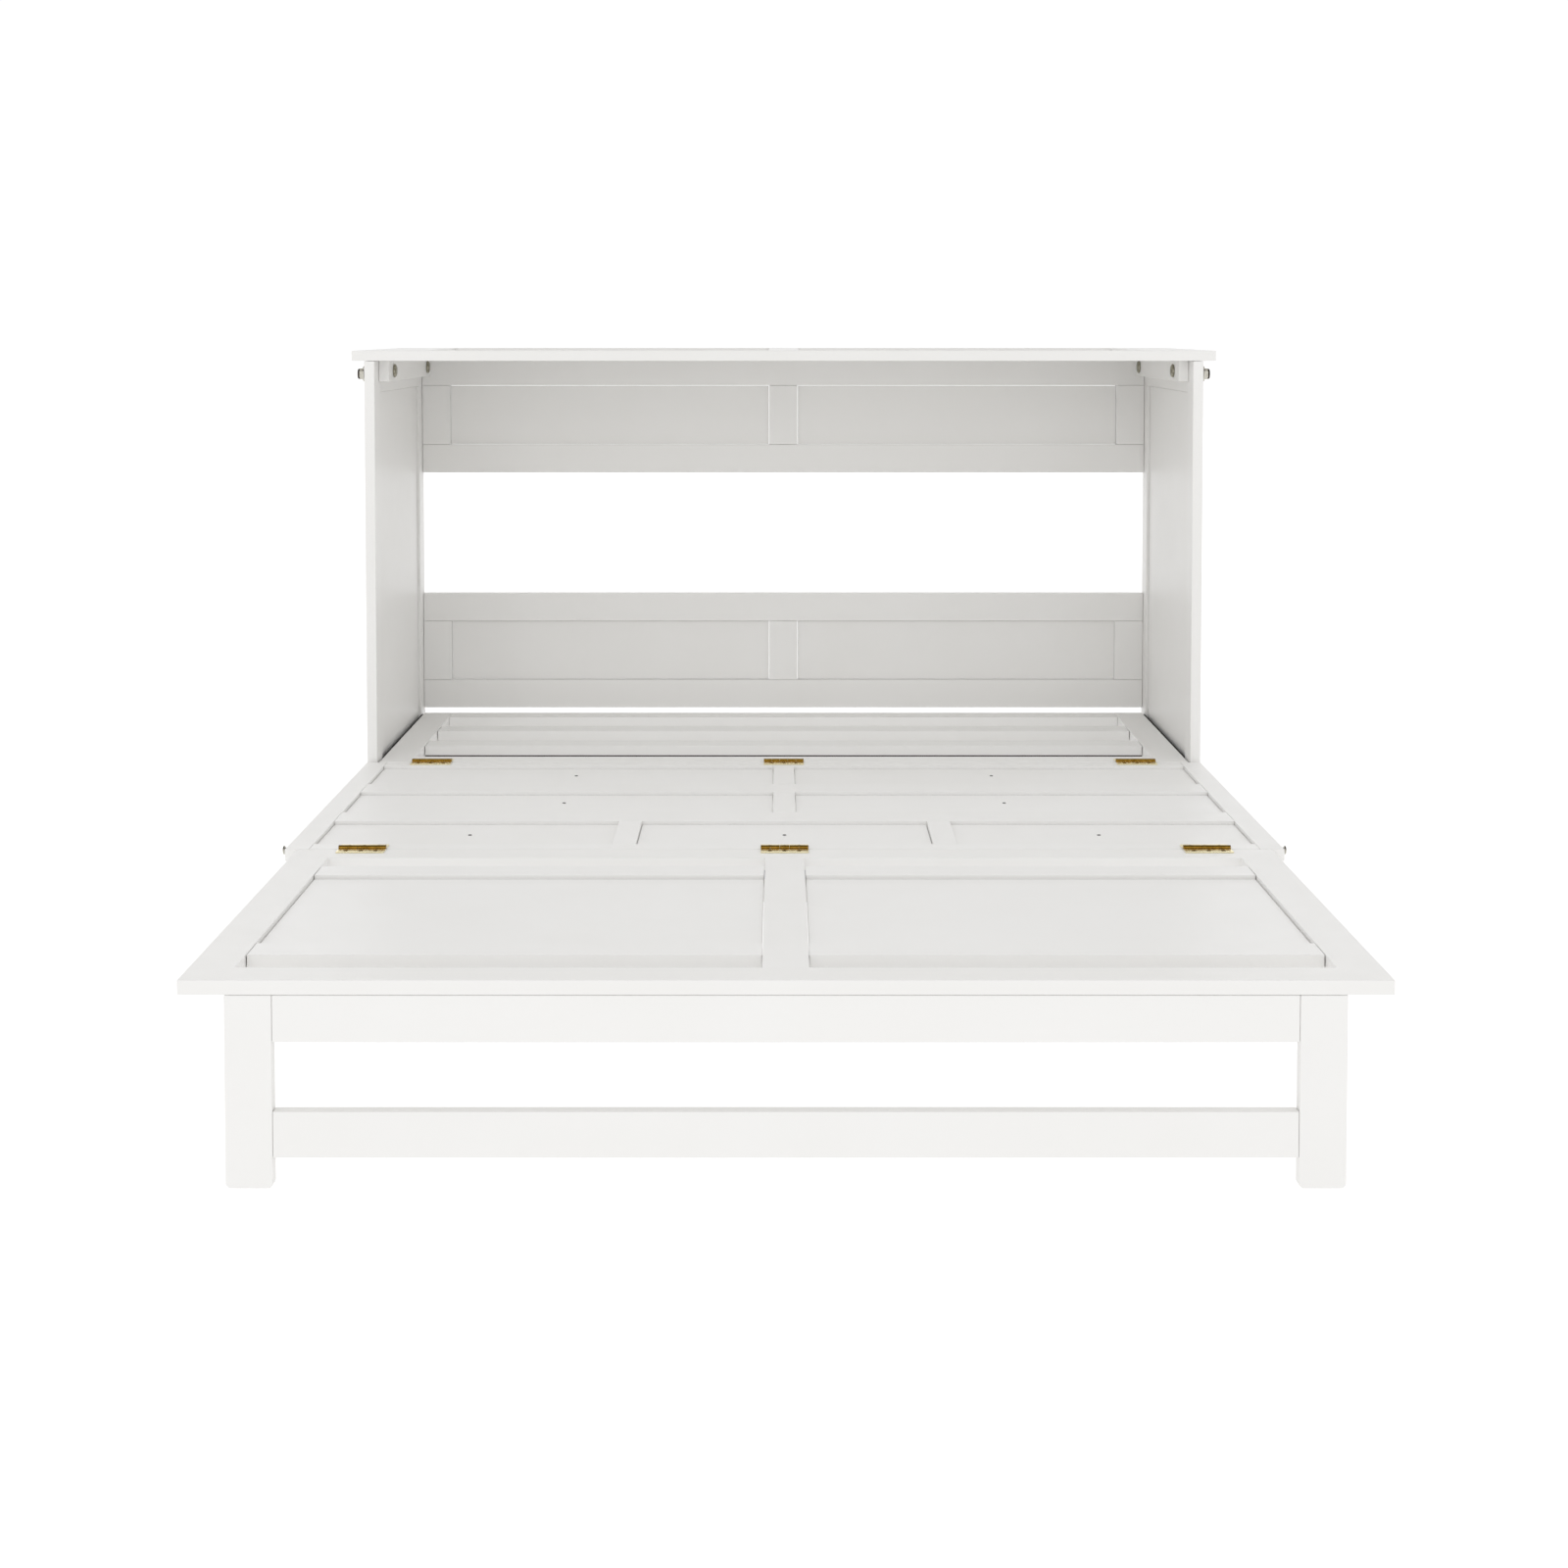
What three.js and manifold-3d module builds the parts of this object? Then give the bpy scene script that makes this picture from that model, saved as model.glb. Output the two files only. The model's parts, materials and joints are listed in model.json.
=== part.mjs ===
// A cabinet bed, unfolded for sleeping. A chest-like cabinet stands at the back. Its drawer-look front lies
// forward as the middle of the bed, and a foot section with two folding leg frames continues from it.
// Sizes are in mm. X runs across the bed, +Y from the foot to the cabinet's back, and +Z is up. Y is counted
// from the seam between the cabinet and its front, and the last lines centre the whole depth on Y = 0.
import * as THREE from "three";
import { mergeVertices } from "three/addons/utils/BufferGeometryUtils.js";
import Module from "manifold-3d";

const wasm = await Module();
wasm.setup();

// Boards
const BOARD = 18; // thickness of every frame board
const MEMBER = 56; // width of rails, stiles, slats and legs
const FIELD_DEPTH = 5.5; // how far the fields of a framed panel are sunk
const FIT = 0.3; // gap between pieces that are fixed to each other
const SEAM = 1.5; // gap between the cabinet base, its front and the foot section

// Cabinet
const CABINET_WIDTH = 1470;
const CABINET_HEIGHT = 974;
const CABINET_BACK = 578;
const CARCASE_FRONT = 3.6; // the sides and the top stay this far behind the seam, clear of the hinges
const TOP_OVERHANG = 22; // of the top past each side
const SIDE_BOTTOM_RAIL = 90;
const BACK_PANEL_HEIGHT = 229.6;
const LOWER_BACK_PANEL_FOOT = 256.3; // height of its lower edge
const CLEAT = { height: 37, front: 50 };

// Base and deck
const DECK_TOP = 249; // height of the sleeping deck
const BASE_BACK = 543;
const BASE_SIDE_GAP = 3.5; // between the base and the cabinet's sides
const BEARER_HEIGHT = 36;
const PLINTH_FOOT = 40; // height of the lower edge of the boards below the base

// Front of the cabinet
const FRONT_LENGTH = 701.5;
const FRONT_STILE = 36; // its side, centre and end members
const FRONT_FIELD = 164; // length of one field along Y
const FRONT_OUTER_FIELD = 221; // half width of the middle field in the row of three
const KNOB_ROWS = [
  { y: -100, x: [-357, 357] },
  { y: -335, x: [-357, 357] },
  { y: -580, x: [-478, 0, 478] },
];

// Foot section and its leg frames
const FOOT_LENGTH = 703;
const FOOT_WIDTH = 1432;
const FOOT_SLOT = { front: 57, rear: 53 }; // open gaps between the ends of the foot frame and the slats
const LEG_OUTER_X = 661;
const LOWER_RAIL = [36.7, 92]; // heights of the lower rail's edges
const LEG_CHAMFER = 4;

// Hinges. Leaves are counted from the barrel's axis.
const AXIS_RISE = 3.2; // height of the butt hinges' axes above the deck
const HINGE_X = [-620, 0, 620];
const BUTT = {
  length: 70,
  knuckles: 5,
  radius: 3,
  near: 3.4,
  reach: 26,
  leafZ: [-3, -1.5],
  pin: 1.3,
  bore: 1.6,
};
const PIANO = {
  length: 1180,
  knuckles: 13,
  radius: 2.4,
  near: 2.8,
  reach: 18,
  leafZ: [-2.7, -1.5],
  pin: 0.9,
  bore: 1.2,
};
const LEG_AXIS = 3; // distance of the leg hinge's axis from the leg and from the deck's underside

// Side latches
const LATCH_PIVOT = { y: 22, z: 933 };
const LATCH_HALF_WIDTH = 14;
const LATCH_WASHER = { radius: 11, x: [0.3, 1.3] }; // x is counted from the side's outer face
const LATCH_PLATE_X = [1.2, 3.7];
const LATCH_HEAD = { acrossCorners: 19.6, x: [3.6, 10.2] };
const STUD = { inset: 35, shank: 4, shankEnd: 6, head: 6.5, end: 9 };
const STUD_SLACK = 0.6;

// Places that follow from the sizes
const sideInner = CABINET_WIDTH / 2 - BOARD;
const carcaseY = [CARCASE_FRONT, CABINET_BACK];
const deckZ = [DECK_TOP - BOARD, DECK_TOP];
const topZ = [CABINET_HEIGHT - BOARD, CABINET_HEIGHT];
const backY = [CABINET_BACK - BOARD, CABINET_BACK];
const frontY = [-SEAM / 2 - FRONT_LENGTH, -SEAM / 2];
const footSeam = frontY[0] - SEAM / 2;
const footY = [footSeam - SEAM / 2 - FOOT_LENGTH, footSeam - SEAM / 2];
const hingeAxisZ = DECK_TOP + AXIS_RISE;
const studY = frontY[0] + STUD.inset;

const LACQUER = { color: 0xf1f1ef, roughness: 0.42, metalness: 0 };
const BRASS = { color: 0xc89a3c, roughness: 0.28, metalness: 1 };
const NICKEL = { color: 0xbfbcb4, roughness: 0.25, metalness: 1 };

const span = ([low, high]) => high - low;
const middle = ([low, high]) => (low + high) / 2;
const around = (centre, width) => [centre - width / 2, centre + width / 2];
const both = (half) => [-half, half];
const shrunk = ([low, high], by) => [low + by, high - by];
const sideOf = (sign, [low, high]) => (sign > 0 ? [low, high] : [-high, -low]);
const SIDES = { left: -1, right: 1 };

// A box from its X, Y and Z ranges.
function block(x, y, z) {
  return new THREE.BoxGeometry(span(x), span(y), span(z)).translate(middle(x), middle(y), middle(z));
}

// A closed geometry as a solid for cutting and joining.
function solid(geometry) {
  const bare = geometry.clone();
  bare.deleteAttribute("normal");
  bare.deleteAttribute("uv");
  const merged = mergeVertices(bare, 1e-3);
  const vertProperties = merged.attributes.position.array;
  const triVerts = new Uint32Array(merged.index.array);
  return new wasm.Manifold(new wasm.Mesh({ numProp: 3, vertProperties, triVerts }));
}

// A solid as a geometry again.
function geometryOf(made) {
  const { vertProperties, triVerts } = made.getMesh();
  return new THREE.BufferGeometry()
    .setAttribute("position", new THREE.BufferAttribute(vertProperties, 3))
    .setIndex(new THREE.BufferAttribute(triVerts, 1));
}

const subtract = (left, tool) => left.subtract(solid(tool));
const cut = (body, tools) => geometryOf(tools.reduce(subtract, solid(body)));
const join = (pieces) => geometryOf(pieces.map(solid).reduce((all, piece) => all.add(piece)));

function add(group, name, geometry, finish) {
  const mesh = new THREE.Mesh(geometry, new THREE.MeshStandardMaterial(finish));
  mesh.name = name;
  group.add(mesh);
}

// A framed board: a block with fields sunk into its faces. thin names the board's thin axis, fields are
// lists of three ranges, and the range along the thin axis is worked out here for the faces asked for.
function framedBoard(ranges, thin, fields, faces = [0, 1]) {
  const [low, high] = ranges[thin];
  const sunk = [[low - 1, low + FIELD_DEPTH], [high - FIELD_DEPTH, high + 1]];
  const tools = fields.flatMap((field) => faces.map((face) => block(...field.with(thin, sunk[face]))));
  return cut(block(...ranges), tools);
}

// Cylinder along X between two X values, centred on the X axis; six sides make a hexagon.
function rod(radius, x, sides = 24) {
  const upright = new THREE.CylinderGeometry(radius, radius, span(x), sides);
  return upright.rotateZ(-Math.PI / 2).translate(middle(x), 0, 0);
}

function sidePanels(bed) {
  const fieldY = shrunk(carcaseY, MEMBER);
  const fieldZ = [SIDE_BOTTOM_RAIL, topZ[0] - MEMBER];
  for (const [side, sign] of Object.entries(SIDES)) {
    const x = sideOf(sign, [sideInner, CABINET_WIDTH / 2]);
    const board = framedBoard([x, carcaseY, [0, topZ[0] - FIT]], 0, [[x, fieldY, fieldZ]]);
    add(bed, `side_panel_${side}`, board, LACQUER);
  }
}

// Two fields side by side, with a centre stile, inside the given ranges.
function pairOfFields(x, y, z, stile) {
  return [[x[0], -stile / 2], [stile / 2, x[1]]].map((half) => [half, y, z]);
}

function topPanel(bed) {
  const x = both(CABINET_WIDTH / 2 + TOP_OVERHANG);
  const fields = pairOfFields(shrunk(x, 2 * MEMBER), shrunk(carcaseY, MEMBER), topZ, MEMBER);
  add(bed, "top_panel", framedBoard([x, carcaseY, topZ], 2, fields, [1]), LACQUER);
}

function backPanels(bed) {
  const feet = { upper: topZ[0] - FIT - BACK_PANEL_HEIGHT, lower: LOWER_BACK_PANEL_FOOT };
  const x = both(sideInner - FIT);
  for (const [name, foot] of Object.entries(feet)) {
    const z = [foot, foot + BACK_PANEL_HEIGHT];
    const fields = pairOfFields(shrunk(x, MEMBER), backY, shrunk(z, MEMBER), MEMBER);
    add(bed, `${name}_back_panel`, framedBoard([x, backY, z], 1, fields), LACQUER);
  }
}

// Cleats under the top, along both sides.
function topCleats(bed) {
  const y = [CLEAT.front, backY[0] - FIT];
  const z = [topZ[0] - CLEAT.height, topZ[0] - FIT];
  for (const [side, sign] of Object.entries(SIDES)) {
    const x = sideOf(sign, [sideInner - BOARD, sideInner - FIT]);
    add(bed, `top_cleat_${side}`, block(x, y, z), LACQUER);
  }
}

// The slatted base: two side rails, four cross members, and the bearers and boards that carry it.
function base(bed) {
  const outer = sideInner - BASE_SIDE_GAP;
  const y = [SEAM / 2, BASE_BACK];
  const cross = both(outer - MEMBER - FIT);
  const names = ["base_rail_front", "base_slat_front", "base_slat_rear", "base_rail_back"];
  const pitch = (span(y) - MEMBER) / (names.length - 1);
  names.forEach((name, i) => {
    const start = y[0] + i * pitch;
    add(bed, name, block(cross, [start, start + MEMBER], deckZ), LACQUER);
  });
  const under = deckZ[0] - FIT;
  for (const [side, sign] of Object.entries(SIDES)) {
    add(bed, `base_rail_${side}`, block(sideOf(sign, [outer - MEMBER, outer]), y, deckZ), LACQUER);
    const bearerX = sideOf(sign, [sideInner - BOARD, sideInner - FIT]);
    const bearerY = [CARCASE_FRONT + BOARD + FIT, backY[0] - FIT];
    add(bed, `base_bearer_${side}`, block(bearerX, bearerY, [under - BEARER_HEIGHT, under]), LACQUER);
  }
  const boardX = both(sideInner - FIT);
  const boardZ = [PLINTH_FOOT, under];
  add(bed, "lower_front_board", block(boardX, [CARCASE_FRONT, CARCASE_FRONT + BOARD], boardZ), LACQUER);
  add(bed, "lower_back_board", block(boardX, backY, boardZ), LACQUER);
}

// Rows of fields on the cabinet's front, from the base outwards: two rows of two and one row of three.
function frontFields() {
  const rowPitch = (FRONT_LENGTH - 2 * FRONT_STILE - FRONT_FIELD) / (KNOB_ROWS.length - 1);
  const half = CABINET_WIDTH / 2 - FRONT_STILE;
  const pair = [[-half, -FRONT_STILE / 2], [FRONT_STILE / 2, half]];
  const outer = FRONT_OUTER_FIELD + FRONT_STILE;
  const three = [[-half, -outer], both(FRONT_OUTER_FIELD), [outer, half]];
  return KNOB_ROWS.flatMap((knobs, row) => {
    const far = frontY[1] - FRONT_STILE - row * rowPitch;
    const columns = knobs.x.length === 2 ? pair : three;
    return columns.map((x) => [x, [far - FRONT_FIELD, far], deckZ]);
  });
}

// A solid turned about Z from pairs of radius and height.
function turned(profile, segments) {
  const points = profile.map(([radius, height]) => new THREE.Vector2(radius, height));
  return new THREE.LatheGeometry(points, segments).rotateX(Math.PI / 2);
}

// A round drawer knob that hangs from the front's outer face, which is the deck's underside here.
function knob() {
  const neck = [[0, 0], [8, 0], [6, 3], [5.5, 9]];
  const head = [[8, 13], [13, 16], [15, 19], [14.4, 22], [11, 24.4], [0, 25]];
  return turned([...neck, ...head], 18).rotateX(Math.PI);
}

function knobs(bed) {
  const z = deckZ[0] + FIELD_DEPTH - FIT;
  let number = 0;
  for (const row of KNOB_ROWS)
    for (const x of row.x) {
      number += 1;
      add(bed, `knob_${number}`, knob().translate(x, row.y, z), NICKEL);
    }
}

// Studs on the front's side edges, which the latches catch when the cabinet is closed.
function catchStuds(bed) {
  const { shank, shankEnd, head, end } = STUD;
  const profile = [[0, 0], [shank, 0], [shank, shankEnd], [head, shankEnd], [head, end], [0, end]];
  for (const [side, sign] of Object.entries(SIDES)) {
    const stud = turned(profile, 24).rotateY((sign * Math.PI) / 2);
    const x = sign * (CABINET_WIDTH / 2 + FIT);
    add(bed, `catch_stud_${side}`, stud.translate(x, studY, middle(deckZ)), NICKEL);
  }
}

function cabinetFront(bed) {
  const ranges = [both(CABINET_WIDTH / 2), frontY, deckZ];
  add(bed, "front_panel", framedBoard(ranges, 2, frontFields()), LACQUER);
  knobs(bed);
  catchStuds(bed);
}

// One leaf of a hinge, with its barrel along X through the origin. The leaf lies on the side given by sign,
// below the axis. The pin is fixed in the leaf with the outer knuckles, and the other leaf turns on it.
function hingeLeaf(hinge, sign, hasPin) {
  const pitch = hinge.length / hinge.knuckles;
  const { leafZ } = hinge;
  const plate = block(both(hinge.length / 2), sideOf(sign, [hinge.near, hinge.reach]), leafZ);
  const pieces = [plate];
  for (let i = hasPin ? 0 : 1; i < hinge.knuckles; i += 2) {
    const x = shrunk(around((i - (hinge.knuckles - 1) / 2) * pitch, pitch), FIT / 2);
    pieces.push(rod(hinge.radius, x, 14), block(x, sideOf(sign, [0, hinge.near + 1]), leafZ));
  }
  const pinX = both(hinge.length / 2 - 1);
  if (hasPin) return join([...pieces, rod(hinge.pin, pinX, 12)]);
  return cut(join(pieces), [rod(hinge.bore, pinX, 12)]);
}

// Butt hinges on the deck: one row at the cabinet's base and one between the front and the foot section.
function buttHinges(bed) {
  const rows = [
    { y: 0, behind: "base", before: "front_base" },
    { y: footSeam, behind: "front_foot", before: "foot" },
  ];
  for (const { y, behind, before } of rows)
    HINGE_X.forEach((x, i) => {
      const place = (leaf) => leaf.translate(x, y, hingeAxisZ);
      add(bed, `${behind}_hinge_leaf_${i + 1}`, place(hingeLeaf(BUTT, 1, true)), BRASS);
      add(bed, `${before}_hinge_leaf_${i + 1}`, place(hingeLeaf(BUTT, -1, false)), BRASS);
    });
}

// The foot section's frame has two bays. Each holds two slats and a sunk plate between them. It is open
// between the slats and the ends of the frame.
function footSection(bed) {
  const bayX = [MEMBER / 2, FOOT_WIDTH / 2 - MEMBER];
  const bayY = shrunk(footY, MEMBER);
  const through = [deckZ[0] - 1, deckZ[1] + 1];
  const bays = Object.values(SIDES).map((sign) => block(sideOf(sign, bayX), bayY, through));
  add(bed, "foot_frame", cut(block(both(FOOT_WIDTH / 2), footY, deckZ), bays), LACQUER);

  const filledX = shrunk(bayX, FIT);
  const filledY = [bayY[0] + FOOT_SLOT.front, bayY[1] - FOOT_SLOT.rear];
  const slats = { front: [filledY[0], filledY[0] + MEMBER], rear: [filledY[1] - MEMBER, filledY[1]] };
  const plateY = [slats.front[1] + FIT, slats.rear[0] - FIT];
  const plateZ = shrunk(deckZ, FIELD_DEPTH);
  for (const [side, sign] of Object.entries(SIDES)) {
    const x = sideOf(sign, filledX);
    add(bed, `foot_plate_${side}`, block(x, plateY, plateZ), LACQUER);
    for (const [end, y] of Object.entries(slats)) {
      add(bed, `foot_slat_${end}_${side}`, block(x, y, deckZ), LACQUER);
    }
  }
}

// A leg with its foot's two lower corners cut off. X is the leg's own width range.
function leg(x, y, height) {
  const c = LEG_CHAMFER;
  const outline = [[x[0], height], [x[0], c], [x[0] + c, 0], [x[1] - c, 0], [x[1], c], [x[1], height]];
  const shape = new THREE.Shape(outline.map(([across, up]) => new THREE.Vector2(across, up)));
  const settings = { depth: span(y), bevelEnabled: false };
  return new THREE.ExtrudeGeometry(shape, settings).rotateX(Math.PI / 2).translate(0, y[1], 0);
}

// A leg frame under the foot section, flush with the edge at the given Y. It is drawn for the front edge,
// with Y counted from that edge, and turned half round for the rear one.
function legFrame(bed, end, edgeY, turn) {
  const frame = new THREE.Group();
  frame.position.y = edgeY;
  frame.rotation.z = turn;
  bed.add(frame);
  const y = [0, BOARD];
  const height = deckZ[0] - FIT;
  const sides = turn ? { left: 1, right: -1 } : SIDES;
  for (const [side, sign] of Object.entries(sides)) {
    const x = sideOf(sign, [LEG_OUTER_X - MEMBER, LEG_OUTER_X]);
    add(frame, `${end}_leg_${side}`, leg(x, y, height), LACQUER);
  }
  const railX = both(LEG_OUTER_X - MEMBER - FIT);
  add(frame, `${end}_leg_upper_rail`, block(railX, y, [height - MEMBER, height]), LACQUER);
  add(frame, `${end}_leg_lower_rail`, block(railX, y, LOWER_RAIL), LACQUER);

  const place = (leaf) => leaf.translate(0, BOARD + LEG_AXIS, deckZ[0] - LEG_AXIS);
  add(frame, `${end}_leg_hinge_deck_leaf`, place(hingeLeaf(PIANO, -1, true).rotateX(Math.PI)), NICKEL);
  add(frame, `${end}_leg_hinge_rail_leaf`, place(hingeLeaf(PIANO, 1, false).rotateX(-Math.PI / 2)), NICKEL);
}

// The hook of a latch in its own plane: the pivot at the origin, the arm along +X, and a slot that takes the
// stud from below. The slot's inner edge leans, because the stud comes in on an arc about the pivot.
function latchOutline(reach) {
  const w = LATCH_HALF_WIDTH;
  const seat = STUD.shank + STUD_SLACK;
  const lean = reach - Math.sqrt(reach * reach - w * w);
  const shape = new THREE.Shape();
  shape.absarc(0, 0, w, Math.PI / 2, (3 * Math.PI) / 2, false);
  shape.lineTo(reach - seat - lean, -w);
  shape.absarc(reach, 0, seat, Math.PI, 0, true);
  shape.absarc(reach, 0, w, -Math.acos(seat / w), Math.PI / 2, false);
  return shape;
}

// A latch lies back along the side at rest. It turns down and forward to catch the stud of the closed front.
function latches(bed) {
  const closedStud = { y: middle(deckZ) - hingeAxisZ, z: hingeAxisZ - studY };
  const reach = Math.hypot(LATCH_PIVOT.y - closedStud.y, LATCH_PIVOT.z - closedStud.z);
  const toSide = new THREE.Matrix4().makeBasis(
    new THREE.Vector3(0, 1, 0),
    new THREE.Vector3(0, 0, 1),
    new THREE.Vector3(1, 0, 0),
  );
  for (const [side, sign] of Object.entries(SIDES)) {
    const plateX = sideOf(sign, LATCH_PLATE_X);
    const settings = { depth: span(plateX), bevelEnabled: false, curveSegments: 16 };
    const plate = new THREE.ExtrudeGeometry(latchOutline(reach), settings).applyMatrix4(toSide);
    const washer = rod(LATCH_WASHER.radius, sideOf(sign, LATCH_WASHER.x));
    const head = rod(LATCH_HEAD.acrossCorners / 2, sideOf(sign, LATCH_HEAD.x), 6);
    const lever = join([plate.translate(plateX[0], 0, 0), washer, head]);
    lever.translate((sign * CABINET_WIDTH) / 2, LATCH_PIVOT.y, LATCH_PIVOT.z);
    add(bed, `latch_${side}`, lever, NICKEL);
  }
}

const bed = new THREE.Group();
sidePanels(bed);
topPanel(bed);
backPanels(bed);
topCleats(bed);
base(bed);
cabinetFront(bed);
buttHinges(bed);
footSection(bed);
legFrame(bed, "front", footY[0], 0);
legFrame(bed, "rear", footY[1], Math.PI);
latches(bed);
bed.position.y = -(footY[0] + CABINET_BACK) / 2;

const model = new THREE.Group();
model.add(bed);
export default model;
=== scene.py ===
"""The visual model of an unfolded cabinet bed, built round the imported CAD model.

Metres, in the CAD model's frame: +X across the bed, +Y towards the cabinet's back, +Z up.
"""
import json
import math

import bmesh
import bpy
from mathutils import Matrix, Vector


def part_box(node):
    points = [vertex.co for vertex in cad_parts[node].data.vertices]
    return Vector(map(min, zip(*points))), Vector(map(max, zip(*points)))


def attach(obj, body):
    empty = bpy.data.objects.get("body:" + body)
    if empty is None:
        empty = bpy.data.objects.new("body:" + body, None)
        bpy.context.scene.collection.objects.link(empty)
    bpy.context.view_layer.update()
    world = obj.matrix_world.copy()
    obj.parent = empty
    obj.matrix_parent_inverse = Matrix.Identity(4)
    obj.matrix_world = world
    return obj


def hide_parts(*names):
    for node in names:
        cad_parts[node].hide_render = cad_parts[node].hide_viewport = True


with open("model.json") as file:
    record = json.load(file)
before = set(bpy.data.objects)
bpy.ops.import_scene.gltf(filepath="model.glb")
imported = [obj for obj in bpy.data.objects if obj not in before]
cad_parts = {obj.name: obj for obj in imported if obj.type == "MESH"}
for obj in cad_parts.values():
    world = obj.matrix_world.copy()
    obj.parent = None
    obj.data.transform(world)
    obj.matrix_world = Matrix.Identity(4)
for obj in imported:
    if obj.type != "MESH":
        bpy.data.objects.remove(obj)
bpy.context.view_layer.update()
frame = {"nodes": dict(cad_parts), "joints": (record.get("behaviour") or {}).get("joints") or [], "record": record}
nodes = frame["nodes"]
bodies = frame["record"]["behaviour"]["bodies"]
joint_axis = {joint["name"]: Vector(joint["pos_m"]) for joint in frame["joints"]}
body_of_node = {node: body for body, held in bodies.items() for node in held}
slot_of_node = {part["node"]: part["material_slot"] for part in frame["record"]["subparts"]}

MM = 0.001
SAME_PLACE = 1e-6  # largest difference between equal coordinates
X, Y, Z = range(3)
SIDES = (("left", -1), ("right", 1))  # with the sign of X

# Framed boards
MEMBER = 56 * MM  # width of most rails and stiles
SIDE_BOTTOM_RAIL = 90 * MM
FIELD_DEPTH = 5.5 * MM  # how far a field lies below its frame
JOINT_GAP = 0.4 * MM  # between rails and stiles
FIELD_GAP = 0.9 * MM  # round a field

# The cabinet's front
FRONT_STILE = 36 * MM
FRONT_FIELD = 164 * MM  # along the bed
FRONT_HALF_FIELD = 221 * MM  # half the width of the middle one of three fields

# Rounding of edges
ARRIS = 0.8 * MM  # loose boards, and members of framed boards at their joints
OUTER_EDGE = 1.1 * MM  # the outline of a framed board, and the foot section's frame
PLAIN_EDGE = 1.2 * MM  # other boards
METAL_EDGE = 0.5 * MM
LEAF_EDGE = 0.25 * MM
PAINTED_SHADE_EDGE = 0.3 * MM

# Slats, plates, and the dark strips and pad of painted shade
SLAT_END_GAP = 1 * MM
PLATE_GAP = (1.2 * MM, 1.6 * MM)  # across and along the bed
# Near-black strips beside the base's side rails, painted shade in those gaps.
SHADE_STRIP_SIZE = {
    "width": 2.9 * MM,
    "gap": 0.2 * MM,  # beside the base's side rail
    "depth": 0.4 * MM,  # below the rail's top
    "ends": (57 * MM, 16 * MM),  # short of the rail's ends, front and back
}
# A brown pad below the front slat, painted shade in the gap under it.
SHADE_PAD_SIZE = {
    "width": 20 * MM,
    "inside": 0.8 * MM,  # above the underside of the slat's CAD solid
    "outside": 2 * MM,  # below it
}

# Screws, bolts and knobs
KNOBS = 7
KNOB_SCREW = (3 * MM, 1 * MM)  # radius and height of the head, as in the other screws
FLUSH_SCREW = (3.4 * MM, 0.25 * MM)  # in the base's leaves, which the folded foot section passes closely
LATCH_CAP = {"radius": 9 * MM, "height": 3 * MM, "edge": 0.7 * MM}
BOLT_FROM_CLEAT_FRONT = (54.6 * MM, 457.6 * MM)
BOLT_BELOW_CLEAT_TOP = 18.7 * MM

# Turned shapes, as pairs of radius and height in mm
KNOB_PROFILE = (
    (0, 0), (8, 0), (8.4, 0.8), (7.6, 2), (6.1, 3.6), (5.4, 6), (5.5, 9), (6.4, 11.4), (8.4, 13.2),
    (11.4, 15), (13.8, 17), (15, 19.2), (14.8, 21), (13.6, 22.8), (10.6, 24.3), (6, 24.9), (0, 25),
)
STUD_PROFILE = (
    (0, 0), (4, 0), (4, 5.2), (4.4, 5.9), (6, 6), (6.5, 6.4), (6.5, 7.4), (5.6, 8.3), (3.4, 8.9), (0, 9),
)
BOLT_PROFILE = (
    (0, 0), (11.2, 0), (12, 0.7), (12, 2.2), (11.4, 3.6), (9.6, 4.9), (6.6, 5.8), (3.2, 6.2), (0, 6.3),
)

# Hinges, measured from the barrel's axis
BUTT = {
    "length": 70 * MM,
    "knuckles": 5,
    "radius": 3 * MM,
    "near": 3.4 * MM,  # from here to the reach, the plate is flat
    "reach": 26 * MM,
    "leaf_z": (-1.5 * MM, -3 * MM),  # the plate's top and bottom
    "screws": (-21.6 * MM, 0, 21.6 * MM),
    "screw_y": 16 * MM,
    "screw": (3.4 * MM, 1.1 * MM),
}
PIANO = {
    "length": 1180 * MM,
    "knuckles": 13,
    "radius": 2.4 * MM,
    "near": 2.8 * MM,
    "reach": 18 * MM,
    "leaf_z": (-1.5 * MM, -2.7 * MM),
    "screws": [step * 180 * MM for step in range(-3, 4)],
    "screw_y": 11 * MM,
    "screw": (2.8 * MM, 0.9 * MM),
}
HINGE_X = (-620 * MM, 0, 620 * MM)
KNUCKLE_GAP = 0.3 * MM
HALF_TURN = Matrix.Rotation(math.pi, 4, "Z")

# Studio
FLOOR_HALF = 60  # half its width, in metres
FLOOR_Z = -0.3 * MM
CAMERA = {
    "at": (-0.0076, -3.7664, 1.0152),
    "down": math.radians(2.683),  # its tilt
    "lens": 54.861,  # mm, for a sensor 36 mm wide
    "shift": (0.0029, -0.22),
}
FRONT_LIGHT = {"at": (-3.6, -8, 3), "target": (0, 0, 0.5), "size": 1.2, "watts": 20}


# ---------------------------------------------------------------- materials


def new_material(name, metallic, roughness):
    """A material, its node tree and its shader."""
    material = bpy.data.materials.new(name)
    material.use_nodes = True
    tree = material.node_tree
    shader = tree.nodes["Principled BSDF"]
    shader.inputs["Metallic"].default_value = metallic
    shader.inputs["Roughness"].default_value = roughness
    return material, tree, shader


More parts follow.
